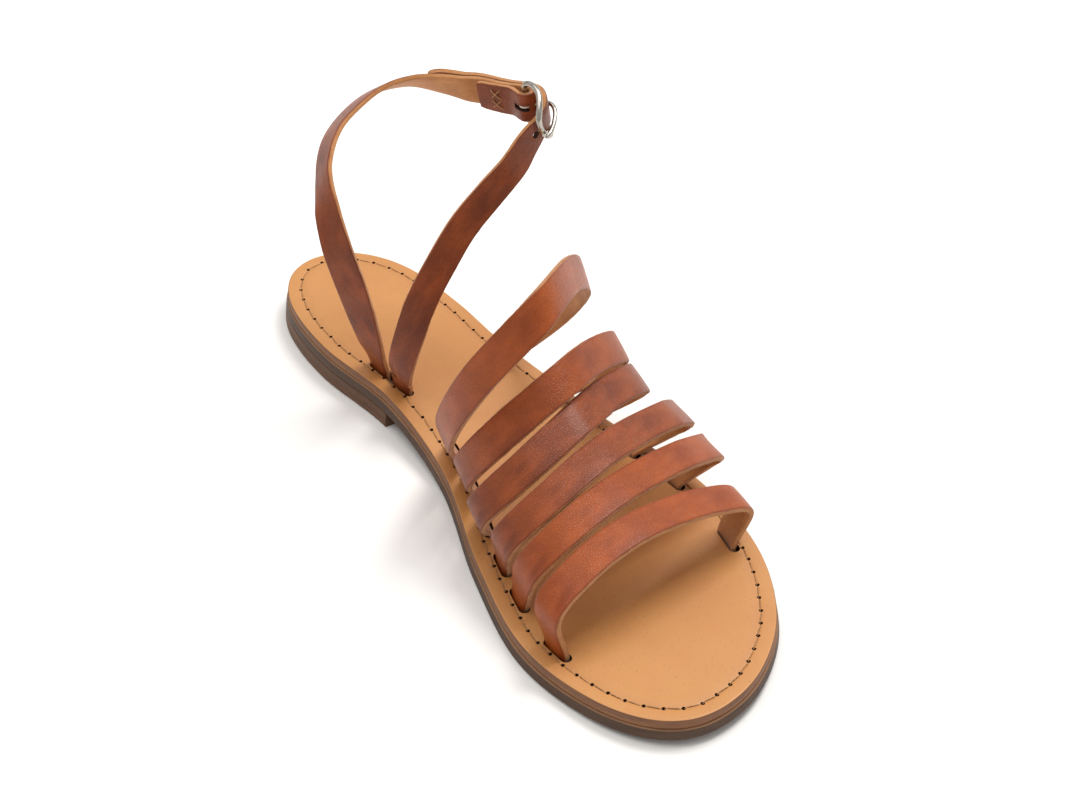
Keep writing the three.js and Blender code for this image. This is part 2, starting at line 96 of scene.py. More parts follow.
# Strap details that only this script has
EDGE_ROUND = 0.42
FLESH_ROUND = 0.22
CUT_SHARES = (0.3, 0.55, 0.82)
DOME = 0.14
FRAY = 0.07
WIDTH_EASE = 0.035
RIM_REACH = 1.5
LEG_CUP = 0.55
LEG_PINCH = 0.1
LEG_REACH = 14
ANKLE_PINCH = 0.03
ANKLE_LEG_REACH = 11
BEND_TURN = 75
BEND_STATIONS = 13
STRAP_STEPS = 120
STRAP_FINE = 700
LOOP_STEP = 1.6
BUCKLE_STEP = 0.9
TIP_STATIONS = 12
FIBRE_LENGTH = 0.62
FIBRE_CHANCE = 0.8
FIBRE_RADII = (0.05, 0.035, 0.008)

# Slots and holes
SLOT_FRONT = 0.9
SLOT_BACK = -0.5
SLOT_OUT = 0.45
SLOT_IN = 1.1
CUT_OVER = 3
CUT_UNDER = 2
SLIT_REACH = 3.2
SLIT_HALF = 0.95
SLIT_DEPTH = 3.4
PRONG_HOLE = 3.9
PRONG_HOLE_REACH = 2.6
FREE_HOLE_REACH = 4
HOLE_SIDES = 20
HOLE_TAPER = 0.75

# Stitches. The pitches are from the toe to the heel: place from the middle, pitch there
STITCH_INSET = 4.75
STITCH_PITCHES = [(-LENGTH / 2, 5.5), (-40, 5.9), (60, 6.2), (LENGTH / 2, 6.6)]
STITCH_HOLE = 1.6
STITCH_HOLE_REACH = 1.3
STITCH_STEPS = 9
STITCH_LEAN = 0.2
STITCH_RISE = 0.16
STITCH_FINE = 1440
THREAD = 0.42
GROOVE_DEPTH = 0.16
FOLD_STITCH_ENDS = (-14.6, -10.2)
FOLD_STITCH_MIDDLE = -13
FOLD_STITCH_ROWS = (-3.5, 0.1)
FOLD_STITCH_SPAN = 3.4

# Sole and wire details
EDGE_WAVE = 0.06
EDGE_WAVES = ((7, 1.0), (13, 2.2), (23, 0.4))
SOLE_SIDES = 280
HEEL_SPANS = 60
WIRE_STATIONS = 96
WIRE_SIDES = 16
PRONG_STATIONS = 60
PRONG_SIDES = 14
SHARP_ANGLE = 38
ROUND_ANGLE = 60

# Insole outline: share of LENGTH from the heel end, then the inner and outer side as shares of BALL_WIDTH
OUTLINE = [
    (0, -0.017, -0.017),
    (0.024, -0.17, 0.153),
    (0.095, -0.267, 0.273),
    (0.206, -0.284, 0.318),
    (0.345, -0.227, 0.335),
    (0.5, -0.247, 0.432),
    (0.655, -0.381, 0.526),
    (0.794, -0.461, 0.499),
    (0.905, -0.409, 0.349),
    (0.976, -0.286, 0.123),
    (1, -0.111, -0.111),
]

# Edge profiles, bottom to top: distance proud of the outline, height as a share of the wall, zone
INSOLE_PROFILE = [
    (-0.5, -0.09, 1), (-0.1, -0.05, 1), (0, 0.12, 1), (0.04, 0.35, 1), (0.02, 0.6, 1), (-0.02, 0.8, 1),
    (-0.1, 0.9, 1), (-0.25, 0.965, 0), (-0.5, 0.995, 0), (-0.95, 1, 0), (-2.4, 0.995, 0), (-4.05, 1, 0),
    (-4.4, 0.975, 0), (-4.75, 0.945, 0), (-5.1, 0.975, 0), (-5.45, 1, 0), (-9, 1, 0),
]
# On the outsole, zone 1 is the top bevel and top, which take a painted highlight look
OUTSOLE_PROFILE = [
    (0.3, 0, 0), (0.62, 0.015, 0), (0.95, 0.05, 0), (1.06, 0.13, 0), (0.98, 0.3, 0), (0.86, 0.5, 0),
    (0.7, 0.7, 0), (0.56, 0.84, 0), (0.5, 0.885, 1), (0.4, 0.94, 1), (0.22, 0.985, 1), (-0.6, 1, 1),
]
HEEL_PROFILE = [
    (0.7, 0, 0), (1.2, 0.012, 0), (1.55, 0.04, 0), (1.66, 0.1, 0), (1.6, 0.3, 0), (1.48, 0.46, 0),
    (1.4, 0.495, 0), (1.33, 0.51, 0), (1.4, 0.525, 0), (1.34, 0.7, 0), (1.2, 0.92, 0), (1.12, 0.97, 0),
    (1.0, 1, 0),
]

# Fore straps, back to front: inner and outer slot, rise, lean, slope, shift of the crown,
# inner and outer bulge, tone of the leather
FORE_STRAPS = [
    (0.026, 0.157, 1.52, 1, 57, 0.15, 0.17, 0.2, 0.25),
    (-0.029, 0.062, 0.955, 0.69, 36, 0.06, 0.13, 0.22, 0.45),
    (-0.103, 0.01, 0.8, 0.55, 24, 0.02, 0.125, 0.21, 0.8),
    (-0.172, -0.074, 0.7, 0.385, 9, 0.15, 0.08, 0.22, 0.7),
    (-0.233, -0.153, 0.62, 0.262, 8, 0.3, 0.045, 0.16, 0.3),
    (-0.325, -0.28, 0.55, -0.03, 7, 0.25, 0.067, 0.11, 0.25),
]

# Ankle loop from the slot up the inner side, round the heel, past the buckle and down to the slot:
# across and back as shares of ANKLE_RADIUS, rise as a share of ANKLE_HEIGHT, face and tilt in degrees
ANKLE_X = 0.09 * BALL_WIDTH
ANKLE_Y = 0.24 * LENGTH
BAR_ROW = 14.4
ANKLE_LOOP = [
    (-0.605, -0.171, 0.13, -7, 0),
    (-0.658, -0.171, 0.22, -20, -5),
    (-0.75, -0.205, 0.36, -38, -2),
    (-0.858, -0.237, 0.52, -50, 2),
    (-0.937, -0.2, 0.66, -46, 6),
    (-0.921, -0.032, 0.77, -22, 16),
    (-0.8, 0.237, 0.84, 32, 32),
    (-0.568, 0.526, 0.89, 52, 47),
    (-0.279, 0.708, 0.92, 72, 56),
    (0.032, 0.797, 0.945, 92, 58),
    (0.313, 0.726, 0.96, 112, 50),
    (0.513, 0.553, 0.96, 130, 30),
    (0.679, 0.263, 0.966, 152, 12),
    (0.795, -0.013, 0.976, 168, 6),
    (0.863, -0.224, 0.99, 185, 6),
    (0.868, -0.453, 0.994, 205, 10),
    (0.758, -0.568, 0.95, 230, 20),
    (0.558, -0.653, 0.88, 250, 28),
    (0.329, -0.618, 0.79, 262, 32),
    (0.053, -0.621, 0.7, 270, 32),
    (-0.205, -0.671, 0.6, 282, 28),
    (-0.411, -0.697, 0.495, 300, 18),
    (-0.553, -0.7, 0.375, 320, 8),
    (-0.626, -0.65, 0.25, 340, 0),
    (-0.566, -0.513, 0.13, 353, 0),
]

# Buckle wire, middle of the bar to middle of the curved end: shares of depth, rise and half height
BUCKLE_WIRE = [
    (0, 0, 0), (0, 0, 0.45), (0, 0, 0.82), (0.09, 0.06, 0.96), (0.38, 0.38, 1), (0.74, 0.78, 0.83),
    (0.94, 0.96, 0.45), (1, 1, 0),
]

# Prong from its tip to the top of its ring, in millimetres from the bar
PRONG_SHANK = [(14, 6.4), (12.6, 6.7), (8.5, 6.5), (5.2, 6), (3.4, 4.6), (2.5, 2.6)]
PRONG_TURNS = [10, -30, -70, -110, -150, -190, -230, -262]

UP = np.array([0.0, 0.0, 1.0])


def unit(vector):
    return vector / np.linalg.norm(vector)


def ramp(value, low, high):
    t = min(max((value - low) / (high - low), 0.0), 1.0)
    return t * t * (3 - 2 * t)


def between(places, values, place):
    """A smooth value between rows at uneven places"""
    i = 1
    while i < len(places) - 3 and place > places[i + 1]:
        i += 1
    step = places[i + 1] - places[i]
    t = (place - places[i]) / step
    start_slope = (values[i + 1] - values[i - 1]) / (places[i + 1] - places[i - 1])
    end_slope = (values[i + 2] - values[i]) / (places[i + 2] - places[i])
    start = values[i] * (2 * t**3 - 3 * t**2 + 1) + start_slope * step * (t**3 - 2 * t**2 + t)
    return start + values[i + 1] * (3 * t**2 - 2 * t**3) + end_slope * step * (t**3 - t**2)


# Sole lines
turns = [math.acos(1 - 2 * along) for along, _, _ in OUTLINE]
round_turns = [-turns[1], *turns, 2 * math.pi - turns[-2]]
inner_sides = [inner * BALL_WIDTH for _, inner, _ in OUTLINE]
outer_sides = [outer * BALL_WIDTH for _, _, outer in OUTLINE]
round_inner = [outer_sides[1], *inner_sides, outer_sides[-2]]
round_outer = [inner_sides[1], *outer_sides, inner_sides[-2]]


def side_at(y, outer):
    turn = math.acos(min(max(2 * y / LENGTH, -1), 1))
    return between(round_turns, round_outer if outer else round_inner, turn)


def lift_at(y):
    along = 0.5 - y / LENGTH
    heel = HEEL_LIFT * (1 - ramp(along, WAIST_START, WAIST_END))
    return heel + TOE_SPRING * min(max((along - SPRING_START) / (1 - SPRING_START), 0), 2) ** 2


def insole_bottom(y):
    return lift_at(y) + OUTSOLE_WALL + FIT


def insole_top(y):
    return insole_bottom(y) + INSOLE_WALL


def outline_point(turn):
    whole = turn % (2 * math.pi)
    y = (LENGTH / 2) * math.cos(whole)
    return np.array([side_at(y, whole > math.pi), y])


def edge_point(turn, out):
    before, after = outline_point(turn - 0.01), outline_point(turn + 0.01)
    outward = unit(np.array([after[1] - before[1], before[0] - after[0]]))
    return outline_point(turn) + outward * out


def edge_way(y, outer, sloped=False):
    after, before = y + EDGE_STEP, y - EDGE_STEP
    rise = insole_bottom(after) - insole_bottom(before) if sloped else 0
    return unit(np.array([side_at(after, outer) - side_at(before, outer), 2 * EDGE_STEP, rise]))


# The solids' frame: the middle of their box is the origin, so the shape moves by the insole's own offset
insole_low, insole_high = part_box("insole")
rim = np.array([outline_point(turn) for turn in np.linspace(0, 2 * math.pi, 721)])
SHIFT = np.array([
    (insole_low.x + insole_high.x) / 2 / MM - (rim[:, 0].min() + rim[:, 0].max()) / 2,
    (insole_low.y + insole_high.y) / 2 / MM,
    0.0,
])


def wobble(count, length, strength):
    """Smooth random values of about the strength, that change over the given length"""
    knots = rng.normal(size=max(int(count / length) + 4, 5))
    places = np.linspace(0, len(knots) - 1.001, count)
    low = places.astype(int)
    t = places - low
    t = t * t * (3 - 2 * t)
    return strength * (knots[low] * (1 - t) + knots[low + 1] * t)


# Meshes
def build(name, points, faces, zones, materials, attributes=None, angle=SHARP_ANGLE):
    mesh = bpy.data.meshes.new(name)
    mesh.from_pydata([tuple(p) for p in (np.asarray(points) + SHIFT) * MM], [], faces)
    for material in materials:
        mesh.materials.append(material)
    mesh.polygons.foreach_set("material_index", zones)
    for label, (kind, values) in (attributes or {}).items():
        field = "vector" if kind == "FLOAT_VECTOR" else "value"
        layer = mesh.attributes.new(label, kind, "POINT")
        layer.data.foreach_set(field, np.asarray(values, np.float32).ravel())
    work = bmesh.new()
    work.from_mesh(mesh)
    bmesh.ops.recalc_face_normals(work, faces=work.faces)
    work.to_mesh(mesh)
    work.free()
    mesh.shade_smooth()
    mesh.set_sharp_from_angle(angle=math.radians(angle))
    made = bpy.data.objects.new(name, mesh)
    bpy.context.scene.collection.objects.link(made)
    return made


def tube_faces(rings, sides, closed=False):
    faces = []
    for ring in range(rings if closed else rings - 1):
        near, far = ring * sides, (ring + 1) % rings * sides
        for i in range(sides):
            j = (i + 1) % sides
            faces.append((near + i, near + j, far + j, far + i))
    if not closed:
        faces.append(tuple(range(sides)))
        faces.append(tuple(range((rings - 1) * sides, rings * sides)))
    return faces


def cut(target, cutter):
    """Takes the cutter's volume out of the target and applies it; the cut faces keep the cutter's zones"""
    step = target.modifiers.new("cut", "BOOLEAN")
    step.operation = "DIFFERENCE"
    step.solver = "EXACT"
    step.object = cutter
    step.material_mode = "INDEX"
    graph = bpy.context.evaluated_depsgraph_get()
    result = bpy.data.meshes.new_from_object(target.evaluated_get(graph))
    target.modifiers.clear()
    target.data = result
    bpy.data.objects.remove(cutter)
    result.shade_smooth()
    result.set_sharp_from_angle(angle=math.radians(SHARP_ANGLE))
    return target


def merge(parts):
    """Several point and face lists as one"""
    points, faces = [], []
    for some_points, some_faces in parts:
        start = len(points)
        points.extend(some_points)
        faces.extend(tuple(start + i for i in face) for face in some_faces)
    return np.array(points), faces


def round_piece(name, parts, look):
    """Wires, threads or fibres as one piece with one look"""
    points, faces = merge(parts)
    return build(name, points, faces, [0] * len(faces), [look], angle=ROUND_ANGLE)


# Materials
def shade(name, coordinates="Object"):
    material = bpy.data.materials.new(name)
    material.use_nodes = True
    tree = material.node_tree
    shader = tree.nodes["Principled BSDF"]

    def fill(socket, value):
        if isinstance(value, bpy.types.NodeSocket):
            tree.links.new(value, socket)
        else:
            socket.default_value = value

    def node(kind, output=0, settings=None, **inputs):
        made = tree.nodes.new("ShaderNode" + kind)
        for key, value in (settings or {}).items():
            setattr(made, key, value)
        for key, value in inputs.items():
            numbered = key[0] == "i" and key[1:].isdigit()
            fill(made.inputs[int(key[1:]) if numbered else key.replace("_", " ")], value)
        return made.outputs[output]

    def surface(**inputs):
        for key, value in inputs.items():
            fill(shader.inputs[key.replace("_", " ")], value)

    if coordinates == "Object":
        place = node("TexCoord", output=3)
    else:
        place = node("Attribute", output=1, settings={"attribute_name": coordinates})
    return material, node, surface, place


def linear(red, green, blue):
    """A colour from its 8-bit display values"""
    shares = [value / 255 for value in (red, green, blue)]
    return (*[share / 12.92 if share <= 0.04045 else ((share + 0.055) / 1.055) ** 2.4 for share in shares], 1)


def attribute(node, name):
    return node("Attribute", output=2, settings={"attribute_name": name})


def mapping(node, place, scale):
    return node("Mapping", Vector=place, Scale=scale)


def noise(node, place, size, detail=3.0, roughness=0.55, stretch=(1, 1, 1)):
    moved = mapping(node, place, tuple(s / size for s in stretch))
    return node("TexNoise", Vector=moved, Scale=1.0, Detail=detail, Roughness=roughness)


def levels(node, value, low, high, to_low=0.0, to_high=1.0):
    return node("MapRange", Value=value, From_Min=low, From_Max=high, To_Min=to_low, To_Max=to_high)


def mixed(node, factor, first, second):
    return node("Mix", output=2, settings={"data_type": "RGBA"}, i0=factor, i6=first, i7=second)


def maths(node, operation, first, second):
    return node("Math", settings={"operation": operation}, i0=first, i1=second)


def pebbles(node, place, size):
    """Leather's grain: 0 in the creases and 1 on the pebbles"""
    wave = noise(node, place, size * 2.2, detail=2.0)
    sway = (size * 0.5,) * 3
    bent = node("VectorMath", settings={"operation": "MULTIPLY_ADD"}, i0=wave, i1=sway, i2=place)
    cells = node(
        "TexVoronoi", settings={"feature": "DISTANCE_TO_EDGE"},
        Vector=mapping(node, bent, (1 / size,) * 3), Scale=1.0, Randomness=1.0,
    )
    return levels(node, cells, 0.0, 0.22)


def bump(node, height, distance, strength=1.0, normal=None):
    inputs = {"Height": height, "Distance": distance, "Strength": strength}
    if normal is not None:
        inputs["Normal"] = normal
    return node("Bump", **inputs)


def strap_grain():
    """Smooth cognac leather, its grain side"""
    material, node, surface, place = shade("strap_grain", "skin")
    tone, rim_share = attribute(node, "tone"), attribute(node, "rim")
    cloud = noise(node, place, 16, detail=3.0)
    streak = noise(node, place, 5, detail=4.0, stretch=(0.35, 1, 1))
    grain = pebbles(node, place, 0.8)
    fine = noise(node, place, 0.24, detail=2.0)
    warm = mixed(node, tone, linear(170, 80, 18), linear(126, 58, 22))
    dark = mixed(node, tone, linear(142, 60, 12), linear(98, 41, 14))
    body_colour = mixed(node, levels(node, cloud, 0.35, 0.68), warm, dark)
    body_colour = mixed(node, levels(node, streak, 0.45, 0.75, 0, 0.35), body_colour, linear(190, 92, 40))
    body_colour = mixed(node, levels(node, grain, 0, 0.6, 0.24, 0), body_colour, linear(92, 36, 18))
    body_colour = mixed(node, levels(node, rim_share, 0.3, 1, 0, 0.4), body_colour, linear(112, 50, 22))
    cloudy = levels(node, cloud, 0.3, 0.7, 0.33, 0.44)
    rough = maths(node, "ADD", cloudy, levels(node, fine, 0.3, 0.7, -0.04, 0.06))
    height = maths(node, "ADD", levels(node, grain, 0, 1, 0, 0.7), levels(node, fine, 0, 1, 0, 0.4))
    soft = bump(node, noise(node, place, 2.6, detail=2.0), 0.00022, 0.35)
    surface(Base_Color=body_colour, Roughness=rough, Normal=bump(node, height, 0.00012, 0.85, soft))
    surface(Coat_Weight=0.12, Coat_Roughness=0.22, Specular_IOR_Level=0.28)
    return material


def raw_edge():
    """The straps' cut edge: tan fibres, stained near the grain side"""
    material, node, surface, place = shade("strap_cut_edge", "skin")
    depth = node("SeparateXYZ", output=2, i0=place)
    fibres = noise(node, place, 0.5, detail=4.0, roughness=0.7, stretch=(1, 1, 2.2))
    patches = noise(node, place, 5, detail=3.0)
    tan = mixed(node, levels(node, fibres, 0.3, 0.7), linear(206, 146, 86), linear(158, 98, 50))
    stain = maths(node, "ADD", depth, levels(node, patches, 0.3, 0.7, -0.45, 0.45))
    colour = mixed(node, levels(node, stain, 0.1, 0.8, 0.7, 0.05), tan, linear(122, 60, 28))
    height = bump(node, fibres, 0.00028, 0.9)
    surface(Base_Color=colour, Roughness=0.86, Normal=height, Sheen_Weight=0.25, Sheen_Roughness=0.5)
    return material


def flesh():
    """The straps' inner side: tan and napped"""
    material, node, surface, place = shade("strap_flesh_side", "skin")
    nap = noise(node, place, 0.7, detail=5.0, roughness=0.75, stretch=(0.6, 1, 1))
    patches = noise(node, place, 9, detail=3.0)
    colour = mixed(node, levels(node, patches, 0.35, 0.7), linear(206, 144, 82), linear(178, 116, 62))
    colour = mixed(node, levels(node, nap, 0.35, 0.72, 0, 0.5), colour, linear(142, 88, 44))
    surface(Base_Color=colour, Roughness=0.9, Normal=bump(node, nap, 0.00022, 0.8))
    surface(Sheen_Weight=0.3, Sheen_Roughness=0.55)
    return material


def insole_top_leather():
    material, node, surface, place = shade("insole_leather_top")
    cloud = noise(node, place, 0.045, detail=3.0)
    blotch = noise(node, place, 0.011, detail=4.0, roughness=0.6)
    grain = pebbles(node, place, 0.00075)
    pores = node("TexVoronoi", Vector=mapping(node, place, (1 / 0.0021,) * 3), Scale=1.0, Randomness=1.0)
    colour = mixed(node, levels(node, cloud, 0.35, 0.68), linear(194, 136, 76), linear(186, 127, 70))
    colour = mixed(node, levels(node, blotch, 0.48, 0.78, 0, 0.4), colour, linear(188, 122, 70))
    colour = mixed(node, levels(node, grain, 0, 0.5, 0.14, 0), colour, linear(160, 100, 54))
    colour = mixed(node, levels(node, pores, 0.05, 0.16, 0.4, 0), colour, linear(120, 72, 40))
    rim_share = attribute(node, "rim")
    colour = mixed(node, levels(node, rim_share, 0.1, 1, 0, 0.55), colour, linear(158, 100, 58))
    height = maths(node, "ADD", levels(node, grain, 0, 1, 0, 0.6), levels(node, pores, 0, 0.2, 0, 0.5))
    soft = bump(node, blotch, 0.0003, 0.3)
    surface(Base_Color=colour, Roughness=levels(node, blotch, 0.3, 0.7, 0.44, 0.56))
    surface(Normal=bump(node, height, 0.00004, 0.6, soft), Coat_Weight=0.06, Coat_Roughness=0.4)
    return material


def sole_edge(name, light, dark, worn, rough=0.6):
    """A stacked and dyed leather edge with fine lines along it, from three display colours"""
    light, dark, worn = linear(*light), linear(*dark), linear(*worn)
    material, node, surface, place = shade(name)
    layers = noise(node, place, 0.0045, detail=5.0, roughness=0.65, stretch=(0.35, 0.35, 4.5))
    blotch = noise(node, place, 0.018, detail=4.0, roughness=0.6)
    fine = noise(node, place, 0.0006, detail=3.0, stretch=(0.6, 0.6, 1.6))
    rim_share = attribute(node, "rim")
    colour = mixed(node, levels(node, layers, 0.35, 0.7), light, dark)
    colour = mixed(node, levels(node, blotch, 0.45, 0.75, 0, 0.45), colour, dark)
    scuff = maths(node, "MULTIPLY", rim_share, levels(node, blotch, 0.35, 0.6, 0.15, 0.8))
    colour = mixed(node, scuff, colour, worn)
    height = maths(node, "ADD", levels(node, layers, 0, 1, 0, 0.9), levels(node, fine, 0, 1, 0, 0.35))
    surface(Base_Color=colour, Roughness=levels(node, fine, 0.3, 0.7, rough - 0.07, rough + 0.09))
    surface(Normal=bump(node, height, 0.00022, 0.7), Coat_Weight=0.05, Coat_Roughness=0.4)
    return material


def painted_hole_shade():
    """Inside the slots and the punched holes, and on the insole's hidden bottom: painted shade, far darker
    than the leather's own cut edges
    """
    material, node, surface, place = shade("punched_hole_painted_shade")
    fibres = noise(node, place, 0.0006, detail=4.0, roughness=0.7)
    colour = mixed(node, levels(node, fibres, 0.3, 0.7), linear(74, 40, 22), linear(48, 26, 15))
    surface(Base_Color=colour, Roughness=0.9, Normal=bump(node, fibres, 0.0002, 0.8))
    return material


def waxed_thread(name, light, dark):
    material, node, surface, place = shade(name)
    strands = noise(node, place, 0.0004, detail=3.0)
    patches = noise(node, place, 0.006, detail=2.0)
    colour = mixed(node, levels(node, strands, 0.35, 0.65), light, dark)
    colour = mixed(node, levels(node, patches, 0.45, 0.7, 0, 0.6), colour, dark)
    surface(Base_Color=colour, Roughness=0.7, Normal=bump(node, strands, 0.00012, 0.9))
    return material


def chrome():
    material, node, surface, place = shade("chrome_wire")
    wear = noise(node, place, 0.0025, detail=4.0, roughness=0.6)
    scratches = noise(node, place, 0.0005, detail=2.0, stretch=(1, 1, 0.2))
    colour = mixed(node, levels(node, wear, 0.4, 0.75), linear(196, 192, 184), linear(140, 134, 124))
    surface(Base_Color=colour, Metallic=1.0, Roughness=levels(node, wear, 0.3, 0.75, 0.12, 0.3))
    surface(Normal=bump(node, scratches, 0.00002, 0.35))
    return material


GRAIN = strap_grain()
EDGE = raw_edge()
FLESH = flesh()
INSOLE_TOP = insole_top_leather()
INSOLE_SIDE = sole_edge("insole_leather_side", (128, 82, 48), (98, 62, 38), (150, 100, 62))
SOLE_SIDE = sole_edge("sole_leather_side", (78, 50, 27), (60, 38, 21), (96, 66, 40))
# Painted highlight: a much lighter band along the outsole's top bevel, where it meets the insole
SOLE_JOINT_HIGHLIGHT = sole_edge("sole_joint_painted_highlight", (150, 110, 78), (118, 82, 56), (166, 126, 92), 0.75)
HEEL_SIDE = sole_edge("heel_leather_side", (102, 65, 36), (78, 49, 27), (118, 81, 48))
# Painted shade: a dark look for the walls of the slots and punched holes and for the insole's bottom
PAINTED_HOLE_SHADE = painted_hole_shade()
THREAD_LOOK = waxed_thread("waxed_thread", linear(186, 138, 90), linear(132, 90, 54))
FIBRE_LOOK = waxed_thread("loose_fibres", linear(208, 150, 92), linear(160, 100, 54))
CHROME = chrome()
# The last look in each list is the painted shade, for hole and slot walls and the insole's bottom
STRAP_LOOKS = [GRAIN, EDGE, FLESH, PAINTED_HOLE_SHADE]
INSOLE_LOOKS = [INSOLE_TOP, INSOLE_SIDE, PAINTED_HOLE_SHADE]


# Straps
def section(half, wall, plus, minus, cup):
    """A strap's section from its outer side round. plus and minus shift the two cut edges"""
    flat = half - EDGE_ROUND
    corners = [
        (flat + EDGE_ROUND * math.sin(a), -DOME - EDGE_ROUND * (1 - math.cos(a)), zone)
        for a, zone in ((math.radians(30), 0), (math.radians(60), 1))
    ]
    rows = []
    for k in range(9):
        side = flat * math.cos(math.pi * k / 8)
        rows.append((side, -DOME * (side / half) ** 2, 0))
    rows.extend((-side, depth, zone) for side, depth, zone in corners)
    for share, shift in zip(CUT_SHARES, minus):
        rows.append((-half - shift, -wall * share, 1))
    rows.append((-half + 0.3 * FLESH_ROUND, -wall + 0.3 * FLESH_ROUND, 1))
    for k in range(6):
        rows.append(((half - FLESH_ROUND) * (k / 2.5 - 1), -wall, 2 if k < 5 else 1))
    rows.append((half - 0.3 * FLESH_ROUND, -wall + 0.3 * FLESH_ROUND, 1))
    for share, shift in zip(CUT_SHARES[::-1], plus):
        rows.append((half + shift, -wall * share, 1))
    rows.extend(corners[::-1])
    return [(side, depth - cup * (side / half) ** 2, zone, depth) for side, depth, zone in rows]


def ribbon(name, stations, wall, tone):
    """A strap's mesh from stations: middle of the outer side, way across, way out, half width, cup"""
    count = len(stations)
    frays = [wobble(count, 1.6, FRAY * 0.6) + wobble(count, 9, FRAY) for _ in range(2)]
    rough = rng.normal(size=(count, 2, 3)) * FRAY * 0.45
    ease = wobble(count, 24, WIDTH_EASE)
    points, skin, rim_values, zones = [], [], [], []
    run = 0.0
    for i, (at, across, out, half, cup) in enumerate(stations):
        if i:
            run += np.linalg.norm(at - stations[i - 1][0])
        wide = half + ease[i]
        rows = section(wide, wall, frays[0][i] + rough[i, 0], frays[1][i] + rough[i, 1], cup)
        for side, depth, _, own_depth in rows:
            points.append(at + across * side + out * depth)
            skin.append((run, side, -own_depth))
            rim_values.append(min(max(1 - (wide - abs(side)) / RIM_REACH, 0), 1))
        if i < count - 1:
            zones.extend(zone for _, _, zone, _ in rows)
    sides = len(rows)
    faces = tube_faces(count, sides)
    zones.extend([1, 1])
    attributes = {
        "skin": ("FLOAT_VECTOR", skin),
        "tone": ("FLOAT", [tone] * len(points)),
        "rim": ("FLOAT", rim_values),
    }
    return build(name, points, faces, zones, STRAP_LOOKS, attributes)


def catmull(rows, closed=False):
    """three.js's centripetal curve through the rows: a function of t from 0 to 1"""
    rows = np.array(rows, float)
    count = len(rows)

    def point(t):
        place = (count if closed else count - 1) * t
        i = int(math.floor(place))
        weight = place - i
        if closed:
            i %= count
        elif weight == 0 and i == count - 1:
            i, weight = count - 2, 1.0
        if closed or i > 0:
            p0 = rows[(i - 1) % count]
        else:
            p0 = 2 * rows[0] - rows[1]
        p1, p2 = rows[i % count], rows[(i + 1) % count]
        p3 = rows[(i + 2) % count] if closed or i + 2 < count else 2 * rows[-1] - rows[-2]
        gaps = [max(((b - a) ** 2).sum(), 1e-12) ** 0.25 for a, b in ((p0, p1), (p1, p2), (p2, p3))]
        first = (p1 - p0) / gaps[0] - (p2 - p0) / (gaps[0] + gaps[1]) + (p2 - p1) / gaps[1]
        second = (p2 - p1) / gaps[1] - (p3 - p1) / (gaps[1] + gaps[2]) + (p3 - p2) / gaps[2]
        first, second = first * gaps[1], second * gaps[1]
        return (
            p1 + first * weight + (3 * (p2 - p1) - 2 * first - second) * weight**2
            + (2 * (p1 - p2) + first + second) * weight**3
        )

    return point


def running(path):
    """The length of a path up to each of its points"""
    return np.concatenate([[0], np.cumsum(np.linalg.norm(np.diff(path, axis=0), axis=1))])


def spaced(curve, count, divisions=CURVE_FINE):
    """Points at even lengths along a curve"""
    ts = np.linspace(0, 1, divisions + 1)
    lengths = running(np.array([curve(t) for t in ts]))
    return [curve(float(np.interp(lengths[-1] * i / count, lengths, ts))) for i in range(count + 1)]


def fore_strap(row):
    inner_y, outer_y = row[0] * LENGTH, row[1] * LENGTH
    rise, lean, slope, shift = row[2] * INSTEP_HEIGHT, row[3] * INSTEP_HEIGHT, math.radians(row[4]), row[5]
    inner_bulge, outer_bulge = row[6] * BALL_WIDTH, row[7] * BALL_WIDTH
    inner_x = side_at(inner_y, False) + SLOT_INSET
    outer_x = side_at(outer_y, True) - SLOT_INSET
    crown = (inner_x + outer_x) / 2 - shift * (outer_x - inner_x) / 2
    top_inner, top_outer = insole_top(inner_y), insole_top(outer_y)

    def point_at(turn):
        height = abs(math.sin(turn)) ** (2 / SECTION_FULLNESS)
        aside = abs(math.cos(turn)) ** (2 / SECTION_FULLNESS)
        inner = turn < math.pi / 2
        plain = crown - (crown - inner_x) * aside if inner else crown + (outer_x - crown) * aside
        share = (plain - inner_x) / (outer_x - inner_x)
        bulge = (-inner_bulge if inner else outer_bulge) * math.sin(math.pi * height)
        ground = top_inner + (top_outer - top_inner) * share
        y = inner_y + (outer_y - inner_y) * share - lean * height
        return np.array([plain + bulge, y, ground + rise * height])

    fine = np.linspace(0, math.pi, CURVE_FINE + 1)
    lengths = running(np.array([point_at(turn) for turn in fine]))
    even = [float(np.interp(lengths[-1] * i / CURVE_SPANS, lengths, fine)) for i in range(CURVE_SPANS + 1)]
    line = spaced(catmull([point_at(turn) for turn in even]), STRAP_STEPS, STRAP_FINE)
    foot_way = np.array([0, math.cos(slope), math.sin(slope)])
    stations = []
    for i, at in enumerate(line):
        share = i / STRAP_STEPS
        inner = share < 0.5
        if i in (0, STRAP_STEPS):
            along = np.array([0, 0, 1 if inner else -1])
        else:
            along = unit(line[i + 1] - line[i - 1])
        level = (1 - math.sin(math.pi * share)) ** 2
        across = edge_way(inner_y if inner else outer_y, not inner) * level + foot_way * (1 - level)
        across = unit(across - along * across.dot(along))
        near_leg = 1 - ramp(lengths[-1] * min(share, 1 - share), 1, LEG_REACH)
        half = STRAP_WIDTH / 2 * (1 - LEG_PINCH * near_leg)
        stations.append((at, across, np.cross(along, across), half, LEG_CUP * near_leg))
    legs = []
    for station, outer, y in ((stations[0], False, inner_y), (stations[-1], True, outer_y)):
        foot = station[0].copy()
        foot[2] = insole_bottom(y) + LEG_LIFT
        legs.append((foot, edge_way(y, outer, True), station[2], station[3], station[4]))
    return [legs[0], *stations, legs[1]], legs


